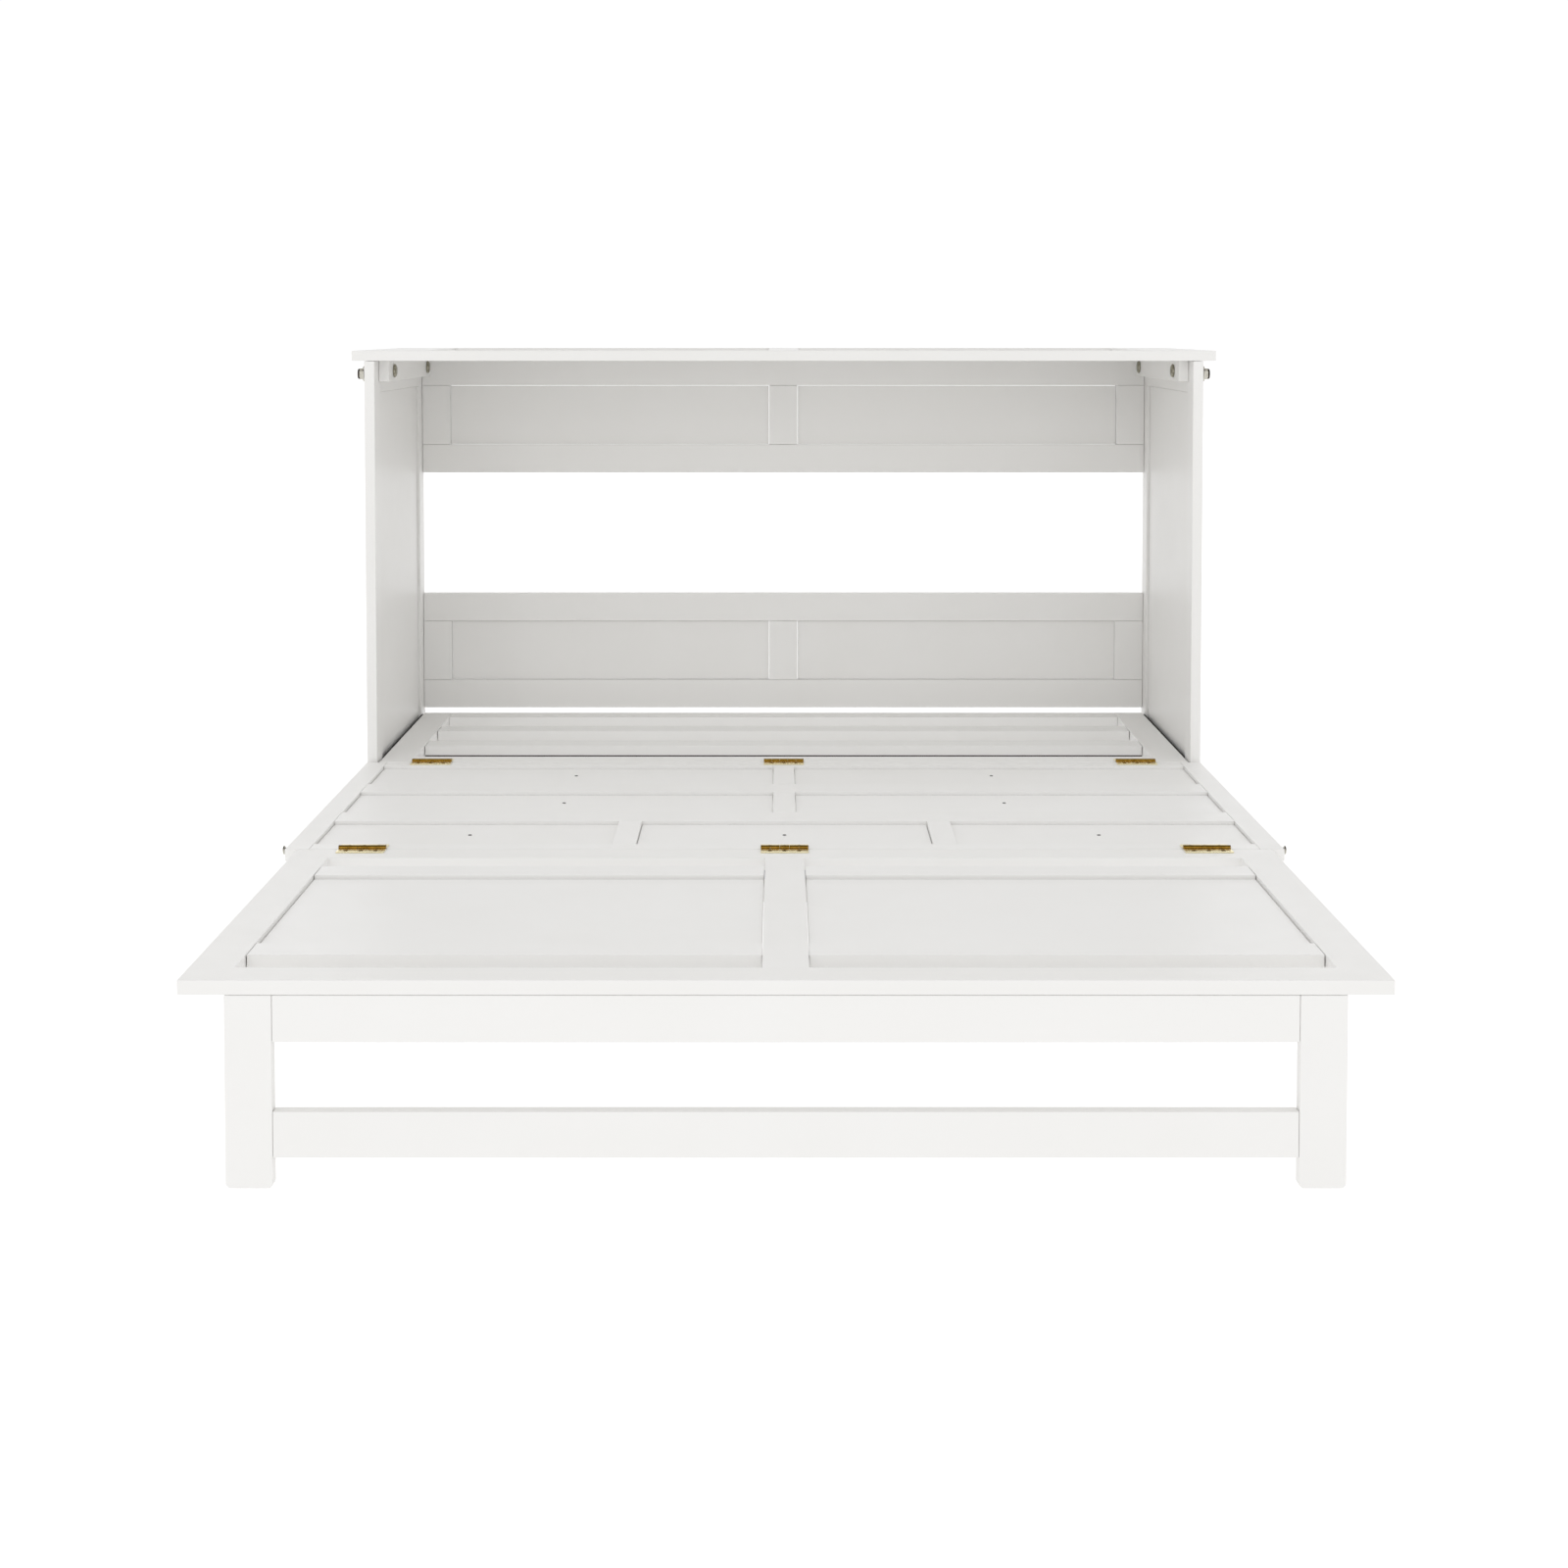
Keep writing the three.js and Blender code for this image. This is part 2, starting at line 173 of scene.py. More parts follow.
def noise(tree, scale, detail=2, stretch=(1, 1, 1)):
    """Noise over the object's coordinates. Scale is in features per metre."""
    place = tree.nodes.new("ShaderNodeTexCoord")
    mapping = tree.nodes.new("ShaderNodeMapping")
    mapping.inputs["Scale"].default_value = stretch
    texture = tree.nodes.new("ShaderNodeTexNoise")
    texture.inputs["Scale"].default_value = scale
    texture.inputs["Detail"].default_value = detail
    tree.links.new(place.outputs["Object"], mapping.inputs["Vector"])
    tree.links.new(mapping.outputs["Vector"], texture.inputs["Vector"])
    return texture.outputs["Fac"]


def spread(tree, value, low, high, from_low=0.3, from_high=0.7):
    """A value stretched to the range from low to high. Noise lies mostly between 0.3 and 0.7."""
    node = tree.nodes.new("ShaderNodeMapRange")
    node.inputs["From Min"].default_value = from_low
    node.inputs["From Max"].default_value = from_high
    node.inputs["To Min"].default_value = low
    node.inputs["To Max"].default_value = high
    tree.links.new(value, node.inputs["Value"])
    return node.outputs["Result"]


def two_colours(tree, factor, first, second):
    """A mix of two colours, the second where the factor is 1."""
    node = tree.nodes.new("ShaderNodeMix")
    node.data_type = "RGBA"
    node.inputs["A"].default_value = (*first, 1)
    node.inputs["B"].default_value = (*second, 1)
    tree.links.new(factor, node.inputs["Factor"])
    return node.outputs["Result"]


def bump(tree, height, distance, below=None):
    """A bump of the given height in metres, on top of another one if there is one below."""
    node = tree.nodes.new("ShaderNodeBump")
    node.inputs["Distance"].default_value = distance
    tree.links.new(height, node.inputs["Height"])
    if below:
        tree.links.new(below, node.inputs["Normal"])
    return node.outputs["Normal"]


def add_values(tree, first, second):
    """The sum of two values."""
    node = tree.nodes.new("ShaderNodeMath")
    node.operation = "ADD"
    tree.links.new(first, node.inputs[0])
    tree.links.new(second, node.inputs[1])
    return node.outputs["Value"]


def lacquer():
    """Satin white lacquer with fine orange peel, faint long waves, and a slight tone for each board."""
    material, tree, shader = new_material("white_lacquer", 0, 0.4)
    board = tree.nodes.new("ShaderNodeNewGeometry")
    per_board = spread(tree, board.outputs["Random Per Island"], -0.25, 0.25, 0, 1)
    mottle = spread(tree, add_values(tree, noise(tree, 7, 3), per_board), 0, 1, 0.1, 0.9)
    colour = two_colours(tree, mottle, (0.862, 0.853, 0.833), (0.882, 0.875, 0.86))
    tree.links.new(colour, shader.inputs["Base Color"])
    tree.links.new(spread(tree, noise(tree, 28, 3), 0.36, 0.46), shader.inputs["Roughness"])
    waves = bump(tree, noise(tree, 9, 1), 0.12 * MM)
    tree.links.new(bump(tree, noise(tree, 700, 2), 0.02 * MM, waves), shader.inputs["Normal"])
    return material


def brass():
    """Polished brass plate with faint draw lines and slightly duller patches."""
    material, tree, shader = new_material("brass", 1, 0.25)
    patches = spread(tree, noise(tree, 160, 3), 0, 1)
    colour = two_colours(tree, patches, (1, 0.88, 0.52), (1, 0.93, 0.64))
    tree.links.new(colour, shader.inputs["Base Color"])
    tree.links.new(spread(tree, noise(tree, 240, 3), 0.17, 0.34), shader.inputs["Roughness"])
    lines = noise(tree, 1, 2, (60, 2600, 2600))
    tree.links.new(bump(tree, lines, 0.02 * MM), shader.inputs["Normal"])
    return material


def plated(name, dull, bright, roughness):
    """Plated metal in two tones, with a satin grain."""
    material, tree, shader = new_material(name, 1, sum(roughness) / 2)
    colour = two_colours(tree, spread(tree, noise(tree, 220, 4), 0, 1), dull, bright)
    tree.links.new(colour, shader.inputs["Base Color"])
    tree.links.new(spread(tree, noise(tree, 400, 3), *roughness), shader.inputs["Roughness"])
    tree.links.new(bump(tree, noise(tree, 1500, 2), 0.015 * MM), shader.inputs["Normal"])
    return material


def painted_shade_felt(name, dark, light):
    """Dark cloth with a fine nap, used only as painted shade in gaps."""
    material, tree, shader = new_material(name, 0, 0.95)
    tree.links.new(two_colours(tree, noise(tree, 900, 3), dark, light), shader.inputs["Base Color"])
    tree.links.new(bump(tree, noise(tree, 2500, 2), 0.2 * MM), shader.inputs["Normal"])
    return material


LACQUER = lacquer()
BRASS = brass()
# A darker copy of brass, painted shade, for the hinge barrels and the screw heads in brass leaves.
PAINTED_SHADE_BRASS = plated("brass_painted_shade", (0.26, 0.135, 0.012), (0.42, 0.25, 0.045), (0.16, 0.28))
NICKEL = plated("nickel", (0.50, 0.48, 0.42), (0.62, 0.60, 0.54), (0.1, 0.2))
STEEL = plated("steel", (0.50, 0.51, 0.53), (0.66, 0.67, 0.69), (0.28, 0.42))
DARK_NICKEL = plated("dark_nickel", (0.22, 0.21, 0.16), (0.40, 0.38, 0.31), (0.06, 0.16))
BLACK_STEEL = plated("black_steel", (0.03, 0.022, 0.016), (0.07, 0.055, 0.042), (0.2, 0.35))
# A darker copy of steel, painted shade, for the heads of the knob screws.
PAINTED_SHADE_STEEL = plated("steel_painted_shade", (0.09, 0.085, 0.08), (0.17, 0.165, 0.16), (0.28, 0.42))
# The near-black and dark brown cloths are painted shade, put into gaps.
PAINTED_SHADE_BLACK = painted_shade_felt("black_felt_painted_shade", (0.004, 0.004, 0.004), (0.014, 0.013, 0.012))
PAINTED_SHADE_BROWN = painted_shade_felt("brown_felt_painted_shade", (0.03, 0.019, 0.014), (0.06, 0.04, 0.03))
FINISHES = {"white_lacquer": LACQUER, "brass": BRASS, "nickel": NICKEL, "steel": STEEL}


# ---------------------------------------------------------------- shapes


def mesh_from(name, bm):
    """A mesh made from a bmesh, which is freed."""
    mesh = bpy.data.meshes.new(name)
    bm.to_mesh(mesh)
    bm.free()
    return mesh


def new_object(name, data):
    """A new object in the scene."""
    made = bpy.data.objects.new(name, data)
    bpy.context.scene.collection.objects.link(made)
    return made


def piece(name, bm, finish, slot, body, *replaced):
    """Makes a piece from a bmesh in the CAD model's frame, and ties it to its body. Slot is not used."""
    bmesh.ops.recalc_face_normals(bm, faces=bm.faces)
    mesh = mesh_from(name, bm)
    mesh.materials.append(finish)
    mesh.polygons.foreach_set("use_smooth", [True] * len(mesh.polygons))
    made = new_object(name, mesh)
    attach(made, body)
    if replaced:
        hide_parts(*replaced)
    return made


def rounded(made, width, segments=3, limit="ANGLE"):
    """Rounds an object's sharp edges, or those with a bevel weight."""
    bevel = made.modifiers.new("rounding", "BEVEL")
    bevel.width = width
    bevel.segments = segments
    bevel.limit_method = limit
    bevel.angle_limit = math.radians(35)
    bevel.harden_normals = True
    bevel.use_clamp_overlap = True


def lathe(profile, segments=48):
    """A closed solid turned about Z from pairs of radius and height. It starts and ends on the axis."""
    bm = bmesh.new()
    turns = [2 * math.pi * i / segments for i in range(segments)]
    rings = []
    for radius, height in profile:
        if radius == 0:
            rings.append([bm.verts.new((0, 0, height))])
            continue
        rings.append([bm.verts.new((radius * math.cos(a), radius * math.sin(a), height)) for a in turns])
    for low, high in zip(rings, rings[1:]):
        for i in range(segments):
            j = (i + 1) % segments
            corners = [low[i % len(low)], low[j % len(low)], high[j % len(high)], high[i % len(high)]]
            bm.faces.new(list(dict.fromkeys(corners)))
    return bm


def turned(profile):
    """A turned solid from a profile in mm."""
    return lathe([(radius * MM, height * MM) for radius, height in profile])


def add_block(bm, low, high):
    """Adds a plain box to bm and returns its edges."""
    low, high = Vector(low), Vector(high)
    verts = bmesh.ops.create_cube(bm, size=1)["verts"]
    for vert in verts:
        vert.co = [low[k] + (vert.co[k] + 0.5) * (high[k] - low[k]) for k in (X, Y, Z)]
    return {edge for vert in verts for edge in vert.link_edges}


def placed(bm, matrix):
    """A bmesh moved by a matrix."""
    bmesh.ops.transform(bm, matrix=matrix, verts=bm.verts)
    return bm


def merged(parts):
    """Several bmeshes as one, each still its own closed solid."""
    whole = bmesh.new()
    for part in parts:
        mesh = mesh_from("part", part)
        whole.from_mesh(mesh)
        bpy.data.meshes.remove(mesh)
    return whole


def sideways(at, sign):
    """The move that takes a shape standing on z = 0 to a point, where it stands out along X."""
    turn = Vector((sign, 0, 0)).to_track_quat("Z", "Y").to_matrix().to_4x4()
    return Matrix.Translation(at) @ turn


def centre_of(node):
    low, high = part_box(node)
    return (low + high) / 2


# ---------------------------------------------------------------- boards


def plane_axes(thin):
    """The two axes in the plane of a board that is thin along the given one."""
    return [axis for axis in (X, Y, Z) if axis != thin]


def in_space(thin, u, v, t):
    """Lowest and highest corner from ranges in a board's plane and through its thickness."""
    ranges = [u, v]
    ranges.insert(thin, t)
    return [r[0] for r in ranges], [r[1] for r in ranges]


def frame_members(u, v, rows, stiles_run_through):
    """Ranges in a board's plane of its rails and stiles, from its outline u and v.

    Each row is its range across the rails, and the ranges of its fields between the stiles.
    """
    left, right = rows[0][1][0][0], rows[0][1][-1][1]
    gaps = [v[0], *(edge for span, _ in rows for edge in span), v[1]]
    rail_u = (left, right) if stiles_run_through else u
    members = [(rail_u, span) for span in zip(gaps[::2], gaps[1::2])]
    if stiles_run_through:
        members += [((u[0], left), v), ((right, u[1]), v)]
    for span, fields in rows:
        edges = [edge for field in fields for edge in field]
        edges = edges[1:-1] if stiles_run_through else [u[0], *edges, u[1]]
        members += [(stile, span) for stile in zip(edges[::2], edges[1::2])]
    return members


def smaller(span, by):
    """A range less a margin at both ends."""
    return span[0] + by, span[1] - by


def on_border(value, span):
    """Whether a coordinate is at one end of a range, or only a joint's gap inside it."""
    return min(abs(value - span[0]), abs(value - span[1])) < 2 * JOINT_GAP


def add_member(bm, weights, thin, member, outline, thickness):
    """A rail or stile. Its edges on the board's outline are rounded more than those at joints."""
    axes = plane_axes(thin)
    u, v = (smaller(span, JOINT_GAP / 2) for span in member)
    for edge in add_block(bm, *in_space(thin, u, v, thickness)):
        start, end = (vert.co for vert in edge.verts)
        fixed = [k for k in (0, 1) if abs(start[axes[k]] - end[axes[k]]) < SAME_PLACE]
        outer = all(on_border(start[axes[k]], outline[k]) for k in fixed)
        edge[weights] = 1 if outer else ARRIS / OUTER_EDGE


def add_field(bm, weights, thin, field, thickness):
    """A field, with edges rounded half as much as a member's at its joints."""
    u, v = (smaller(span, FIELD_GAP) for span in field)
    for edge in add_block(bm, *in_space(thin, u, v, thickness)):
        edge[weights] = ARRIS / OUTER_EDGE / 2


def framed_board(node, thin, rows, stiles_run_through, sunk=(FIELD_DEPTH, FIELD_DEPTH)):
    """Replaces a CAD board by its rails, stiles and fields. Sunk is each face's depth to the fields."""
    low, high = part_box(node)
    outline = [(low[axis], high[axis]) for axis in plane_axes(thin)]
    bm = bmesh.new()
    weights = bm.edges.layers.float.new("bevel_weight_edge")
    for member in frame_members(*outline, rows, stiles_run_through):
        add_member(bm, weights, thin, member, outline, (low[thin], high[thin]))
    for v, fields in rows:
        for u in fields:
            add_field(bm, weights, thin, (u, v), (low[thin] + sunk[0], high[thin] - sunk[1]))
    made = piece(f"{node}_boards", bm, LACQUER, "white_lacquer", body_of_node[node], node)
    rounded(made, OUTER_EDGE, limit="WEIGHT")


def pair(span, stile):
    """Two fields side by side with a stile between them."""
    centre = sum(span) / 2
    return [(span[0], centre - stile / 2), (centre + stile / 2, span[1])]


def back_panels():
    """The two framed panels at the cabinet's back, with a gap between them."""
    for node in ("upper_back_panel", "lower_back_panel"):
        low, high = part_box(node)
        fields = pair(smaller((low.x, high.x), MEMBER), MEMBER)
        framed_board(node, Y, [(smaller((low.z, high.z), MEMBER), fields)], False)


def side_panels():
    """The cabinet's sides, with one tall field each."""
    for node in ("side_panel_left", "side_panel_right"):
        low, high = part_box(node)
        rows = [((SIDE_BOTTOM_RAIL, high.z - MEMBER), [smaller((low.y, high.y), MEMBER)])]
        framed_board(node, X, rows, True)


def top_panel():
    """The cabinet's top, sunk only above."""
    low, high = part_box("top_panel")
    fields = pair(smaller((low.x, high.x), 2 * MEMBER), MEMBER)
    framed_board("top_panel", Z, [(smaller((low.y, high.y), MEMBER), fields)], False, (0, FIELD_DEPTH))


def front_panel():
    """The cabinet's front: a row of three fields by the foot section, and two rows of two."""
    low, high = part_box("front_panel")
    inner = smaller((low.x, high.x), FRONT_STILE)
    outer = FRONT_HALF_FIELD + FRONT_STILE
    three = [(inner[0], -outer), (-FRONT_HALF_FIELD, FRONT_HALF_FIELD), (outer, inner[1])]
    two = pair(inner, FRONT_STILE)
    pitch = (high.y - low.y - 2 * FRONT_STILE - FRONT_FIELD) / 2
    starts = [low.y + FRONT_STILE + i * pitch for i in range(3)]
    rows = [((start, start + FRONT_FIELD), held) for start, held in zip(starts, (three, two, two))]
    framed_board("front_panel", Z, rows, True)


def loose_boards():
    """Slats and plates, a little smaller than their CAD solids, so that the gaps round them show."""
    for node in nodes:
        if "_slat_" in node:
            gap = (SLAT_END_GAP, 0, 0)
        elif node.startswith("foot_plate"):
            gap = (*PLATE_GAP, 0)
        else:
            continue
        low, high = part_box(node)
        # The front slat's underside is raised to make room for the brown pad of painted shade.
        if node == "base_slat_front":
            low.z += SHADE_PAD_SIZE["inside"]
        bm = bmesh.new()
        add_block(bm, low + Vector(gap), high - Vector(gap))
        rounded(piece(f"{node}_board", bm, LACQUER, "white_lacquer", body_of_node[node], node), ARRIS)


def painted_shade_block(name, x, y, z, finish):
    """A dark block on the cabinet, painted shade in a gap, from its ranges along the axes."""
    bm = bmesh.new()
    add_block(bm, *zip(x, y, z))
    rounded(piece(name, bm, finish, None, "cabinet"), PAINTED_SHADE_EDGE)


def place_painted_shade():
    """Painted shade: near-black strips in the gaps between the base and the cabinet's sides, and a brown pad below
    the front slat, where only shadow would be.
    """
    for side, sign in SIDES:
        low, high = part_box(f"base_rail_{side}")
        near = (low.x if sign < 0 else high.x) + sign * SHADE_STRIP_SIZE["gap"]
        x = sorted((near, near + sign * SHADE_STRIP_SIZE["width"]))
        y = (low.y + SHADE_STRIP_SIZE["ends"][0], high.y - SHADE_STRIP_SIZE["ends"][1])
        painted_shade_block(f"painted_shade_strip_{side}", x, y, (low.z, high.z - SHADE_STRIP_SIZE["depth"]), PAINTED_SHADE_BLACK)
    low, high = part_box("base_slat_front")
    x = smaller((low.x, high.x), SLAT_END_GAP)
    z = (low.z - SHADE_PAD_SIZE["outside"], low.z + SHADE_PAD_SIZE["inside"])
    painted_shade_block("painted_shade_pad", x, (low.y, low.y + SHADE_PAD_SIZE["width"]), z, PAINTED_SHADE_BROWN)


def cad_edge(name):
    """How much the edges of a CAD node are rounded."""
    if slot_of_node[name] == "nickel":
        return METAL_EDGE
    return OUTER_EDGE if name == "foot_frame" else PLAIN_EDGE


def finish_cad_nodes():
    """The CAD nodes get their finish, and those that stay visible get rounded edges."""
    for name, node in nodes.items():
        node.data.materials.clear()
        node.data.materials.append(FINISHES[slot_of_node[name]])
        if node.hide_render:
            continue
        node.modifiers.new("joined_corners", "WELD").merge_threshold = 0.01 * MM
        flat = node.modifiers.new("whole_faces", "DECIMATE")
        flat.decimate_type = "DISSOLVE"
        flat.angle_limit = math.radians(1)
        rounded(node, cad_edge(name))


# ---------------------------------------------------------------- hardware


def screw_head(radius, height):
    """A pan head standing on z = 0, straight at the rim and domed from 0.4 of its height."""
    profile = [(0, 0), (0.96 * radius, 0), (radius, 0.12 * height), (0.97 * radius, 0.4 * height)]
    profile += [(radius * math.cos(a), height * (0.4 + 0.6 * math.sin(a))) for a in (0.6, 0.9, 1.2)]
    profile += [(0, height)]
    return lathe(profile, 28)


def cross_recess(radius, height):
    """The tool that cuts a screw's cross recess."""
    half, reach = 0.14 * radius, 0.6 * radius
    bars = []
    for along, across in ((reach, half), (half, reach)):
        bar = bmesh.new()
        add_block(bar, (-along, -across, 0.3 * height), (along, across, 2 * height))
        bars.append(bar)
    return merged(bars)


def cut(body, tool):
    """The first bmesh less the second."""
    target = new_object("target", mesh_from("target", body))
    cutter = new_object("cutter", mesh_from("cutter", tool))
    boolean = target.modifiers.new("cut", "BOOLEAN")
    boolean.operation = "DIFFERENCE"
    boolean.solver = "EXACT"
    boolean.use_self = True
    boolean.object = cutter
    graph = bpy.context.evaluated_depsgraph_get()
    result = bmesh.new()
    result.from_mesh(target.evaluated_get(graph).data)
    for used in (target, cutter):
        mesh = used.data
        bpy.data.objects.remove(used)
        bpy.data.meshes.remove(mesh)
    return result


def screw(head, at):
    """A screw head, of the given radius and height, that faces up."""
    return placed(cut(screw_head(*head), cross_recess(*head)), Matrix.Translation(at))


def knob_screws():
    """Heads of the screws that hold the knobs, on the inner face of the front's fields, in a darker copy of steel
    that is painted shade.
    """
    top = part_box("front_panel")[1].z - FIELD_DEPTH
    for number in range(1, KNOBS + 1):
        centre = centre_of(f"knob_{number}")
        head = screw(KNOB_SCREW, (centre.x, centre.y, top))
        piece(f"knob_screw_{number}", head, PAINTED_SHADE_STEEL, "steel", "front_panel")


def knobs():
    """Round drawer knobs, under the front's fields."""
    for number in range(1, KNOBS + 1):
        node = f"knob_{number}"
        centre = centre_of(node)
        at = Matrix.Translation((centre.x, centre.y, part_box(node)[1].z))
        knob = placed(turned([(radius, -height) for radius, height in KNOB_PROFILE]), at)
        piece(f"round_{node}", knob, NICKEL, "nickel", "front_panel", node)


def catch_studs():
    """Studs with a domed head, on the side edges of the front."""
    for side, sign in SIDES:
        node = f"catch_stud_{side}"
        low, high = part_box(node)
        centre = centre_of(node)
        foot = (high.x if sign < 0 else low.x, centre.y, centre.z)
        stud = placed(turned(STUD_PROFILE), sideways(foot, sign))
        piece(f"domed_stud_{side}", stud, NICKEL, "nickel", "front_panel", node)


def latch_caps():
    """Dark plugs in the outer ends of the latches' pivot bolts."""
    radius, height, edge = LATCH_CAP["radius"], LATCH_CAP["height"], LATCH_CAP["edge"]
    profile = [(0, 0), (radius, 0), (radius, height - edge), (radius - edge, height), (0, height)]
    for side, sign in SIDES:
        node = f"latch_{side}"
        low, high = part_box(node)
        pivot = joint_axis[f"{node}_turn"]
        end = (low.x if sign < 0 else high.x, pivot.y, pivot.z)
        cap = placed(lathe(profile), sideways(end, sign))
        piece(f"latch_cap_{side}", cap, BLACK_STEEL, "steel", node)


def cleat_bolts():
    """Two bolts with a wide domed head in each cleat under the top."""
    for side, sign in SIDES:
        low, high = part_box(f"top_cleat_{side}")
        face = high.x if sign < 0 else low.x
        for number, along in enumerate(BOLT_FROM_CLEAT_FRONT, 1):
            at = (face, low.y + along, high.z - BOLT_BELOW_CLEAT_TOP)
            head = placed(turned(BOLT_PROFILE), sideways(at, -sign))
            piece(f"cleat_bolt_{side}_{number}", head, DARK_NICKEL, "nickel", "cabinet")


def leaf(hinge, first):
    """One hinge leaf. Its barrel runs along X through the origin, and its plate lies below, towards +Y.

    First is its first knuckle, 0 or 1. The barrel's faces take the second material.
    """
    top, bottom = hinge["leaf_z"]
    radius, half = hinge["radius"], hinge["length"] / 2
    steps = 28
    start = math.asin(top / radius)
    end = 1.5 * math.pi
    turns = [start + (end - start) * i / steps for i in range(steps + 1)]
    curl = [(radius * math.cos(a), radius * math.sin(a)) for a in turns]
    near, reach = hinge["near"], hinge["reach"]
    plate = [(reach, top), (near, top), (near, bottom), (reach, bottom)]
    pitch = hinge["length"] / hinge["knuckles"]
    stations = [-half]
    for i in range(first, hinge["knuckles"], 2):
        stations += [-half + i * pitch + KNUCKLE_GAP / 2, -half + (i + 1) * pitch - KNUCKLE_GAP / 2]
    stations.append(half)

    bm = bmesh.new()
    plates = [[bm.verts.new((x, *point)) for point in plate] for x in stations]
    curls = [[bm.verts.new((x, *point)) for point in curl] for x in stations[1:-1]]
    for k, (a, b) in enumerate(zip(plates, plates[1:])):
        for i in (0, 2, 3):
            j = (i + 1) % 4
            bm.faces.new((a[i], a[j], b[j], b[i]))
        if k % 2 == 0:
            bm.faces.new((a[1], a[2], b[2], b[1]))
            continue
        left = [a[1], *curls[k - 1], a[2]]
        right = [b[1], *curls[k], b[2]]
        strips = [(p, q, s, r) for p, q, r, s in zip(left, left[1:], right, right[1:])]
        for corners in (*strips, left, right):
            bm.faces.new(corners).material_index = 1
    bm.faces.new(plates[0])
    bm.faces.new(plates[-1])
    return bm


def hinge_leaf(node, hinge, first, axis, turn, finishes, slot):
    """Replaces a CAD hinge leaf by a finer one and its screws. Finishes are the plate's and the rest's."""
    place = Matrix.Translation(axis) @ turn
    body = body_of_node[node]
    made = piece(f"{node}_rolled", placed(leaf(hinge, first), place), finishes[0], slot, body, node)
    made.data.materials.append(finishes[1])
    rounded(made, LEAF_EDGE, 2)
    top = hinge["leaf_z"][0]
    head = FLUSH_SCREW if node.startswith("base_hinge") else hinge["screw"]
    heads = [screw(head, (x, hinge["screw_y"], top)) for x in hinge["screws"]]
    piece(f"{node}_screws", placed(merged(heads), place), finishes[1], slot, body)


def hinges():
    """Three butt hinges on each fold of the deck, and a long hinge on each leg frame."""
    # The barrels and screws of the brass hinges take the darker brass, painted shade.
    brass_parts = (BRASS, PAINTED_SHADE_BRASS)
    steel_parts = (STEEL, STEEL)
    rows = (("panel_fold", "base", "front_base"), ("foot_fold", "front_foot", "foot"))
    for joint, behind, before in rows:
        for number, x in enumerate(HINGE_X, 1):
            axis = joint_axis[joint] + Vector((x, 0, 0))
            hinge_leaf(f"{behind}_hinge_leaf_{number}", BUTT, 0, axis, Matrix(), brass_parts, "brass")
            hinge_leaf(f"{before}_hinge_leaf_{number}", BUTT, 1, axis, HALF_TURN, brass_parts, "brass")
    over = Matrix.Rotation(math.pi, 4, "Y")
    down = Matrix.Rotation(-math.pi / 2, 4, "X")
    for end, turn in (("front", Matrix()), ("rear", HALF_TURN)):
        axis = joint_axis[f"{end}_leg_fold"]
        hinge_leaf(f"{end}_leg_hinge_deck_leaf", PIANO, 0, axis, turn @ over, steel_parts, "steel")
        hinge_leaf(f"{end}_leg_hinge_rail_leaf", PIANO, 1, axis, turn @ down, steel_parts, "steel")


# ---------------------------------------------------------------- studio


def floor():
    """A pale floor that glows, a little more for the camera."""
    bm = bmesh.new()
    bmesh.ops.create_grid(bm, x_segments=1, y_segments=1, size=FLOOR_HALF)
    made = new_object("floor", mesh_from("floor", bm))
    made.location.z = FLOOR_Z
    material, tree, shader = new_material("pale_floor", 0, 0.9)
    shader.inputs["Base Color"].default_value = (0.55, 0.55, 0.55, 1)
    shader.inputs["Specular IOR Level"].default_value = 0
    shader.inputs["Emission Color"].default_value = (1, 1, 1, 1)
    seen = tree.nodes.new("ShaderNodeLightPath").outputs["Is Camera Ray"]
    tree.links.new(spread(tree, seen, 0.55, 0.64, 0, 1), shader.inputs["Emission Strength"])
    made.data.materials.append(material)


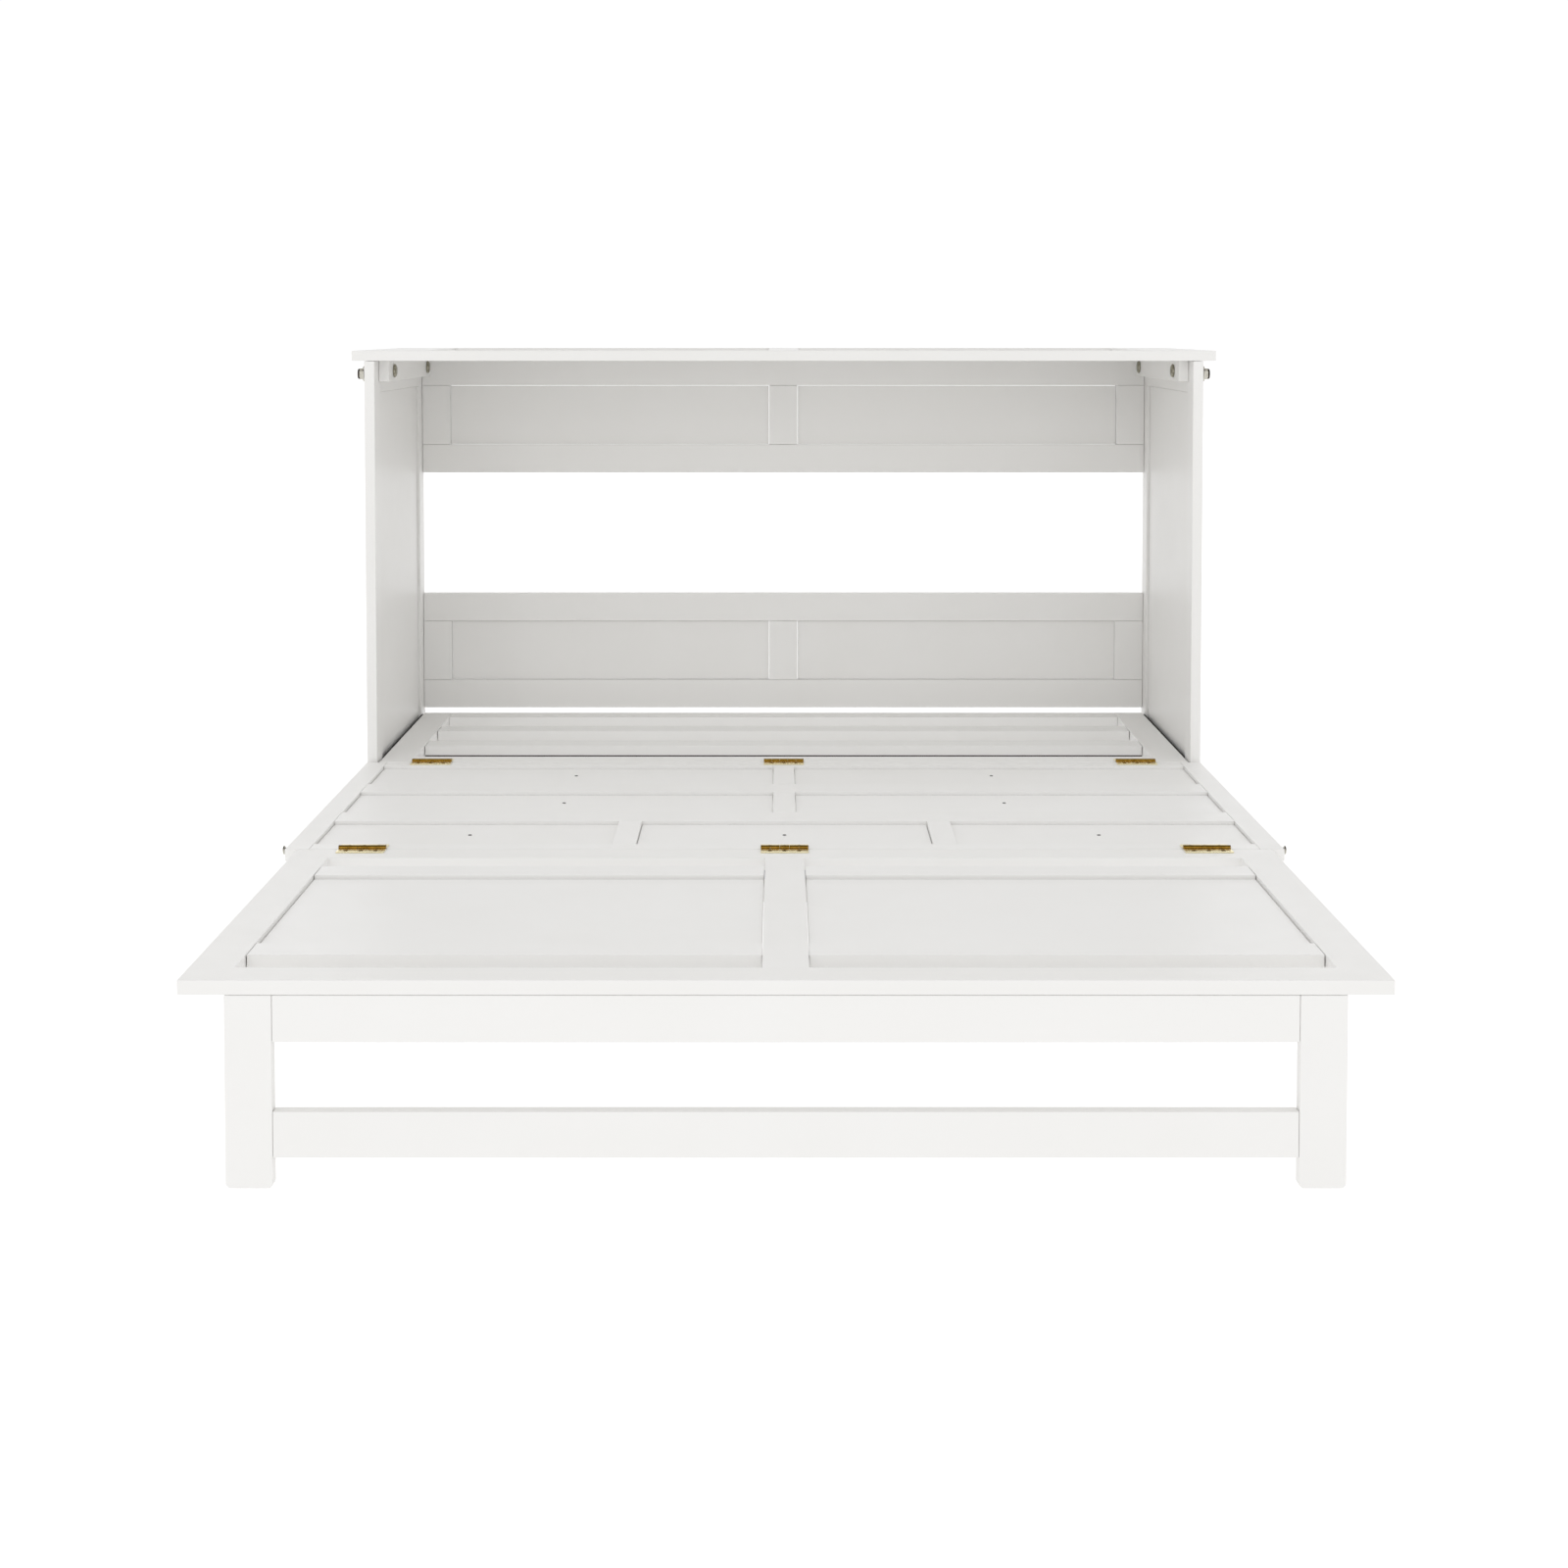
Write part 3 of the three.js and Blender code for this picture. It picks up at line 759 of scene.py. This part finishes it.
def front_light():
    """A soft light in front of the bed, at the left."""
    at = Vector(FRONT_LIGHT["at"])
    lamp = bpy.data.lights.new("front_light", "AREA")
    lamp.shape = "SQUARE"
    lamp.size = FRONT_LIGHT["size"]
    lamp.energy = FRONT_LIGHT["watts"]
    made = new_object("front_light", lamp)
    made.location = at
    made.rotation_euler = (Vector(FRONT_LIGHT["target"]) - at).to_track_quat("-Z", "Y").to_euler()


def sky():
    """A soft white surround. Reflections find it bright in front and behind, and dark elsewhere."""
    world = bpy.data.worlds.new("studio")
    bpy.context.scene.world = world
    world.use_nodes = True
    tree = world.node_tree
    seen = tree.nodes.new("ShaderNodeLightPath")
    place = tree.nodes.new("ShaderNodeTexCoord")
    direction = tree.nodes.new("ShaderNodeSeparateXYZ")
    tree.links.new(place.outputs["Generated"], direction.inputs["Vector"])
    along = tree.nodes.new("ShaderNodeMath")
    along.operation = "ABSOLUTE"
    tree.links.new(direction.outputs["Y"], along.inputs[0])
    plain = spread(tree, seen.outputs["Is Camera Ray"], 0.94, 1.05, 0, 1)
    reflected = spread(tree, along.outputs["Value"], 0.05, 1.08, 0.5, 0.9)
    choice = tree.nodes.new("ShaderNodeMapRange")
    tree.links.new(seen.outputs["Is Glossy Ray"], choice.inputs["Value"])
    tree.links.new(plain, choice.inputs["To Min"])
    tree.links.new(reflected, choice.inputs["To Max"])
    tree.links.new(choice.outputs["Result"], tree.nodes["Background"].inputs["Strength"])
    tree.nodes["Background"].inputs["Color"].default_value = (1, 1, 1, 1)


def camera():
    """A camera just above the cabinet's top, tilted down a little and with its picture shifted down."""
    data = bpy.data.cameras.new("camera")
    data.sensor_width = 36
    data.lens = CAMERA["lens"]
    data.shift_x, data.shift_y = CAMERA["shift"]
    made = new_object("camera", data)
    made.location = CAMERA["at"]
    made.rotation_euler = (math.pi / 2 - CAMERA["down"], 0, 0)
    bpy.context.scene.camera = made


def studio():
    """The floor, the surround, the light and the camera."""
    floor()
    sky()
    front_light()
    camera()
    bpy.context.scene.view_settings.view_transform = "Standard"


back_panels()
side_panels()
top_panel()
front_panel()
hinges()
knobs()
knob_screws()
catch_studs()
latch_caps()
cleat_bolts()
loose_boards()
place_painted_shade()
finish_cad_nodes()
studio()
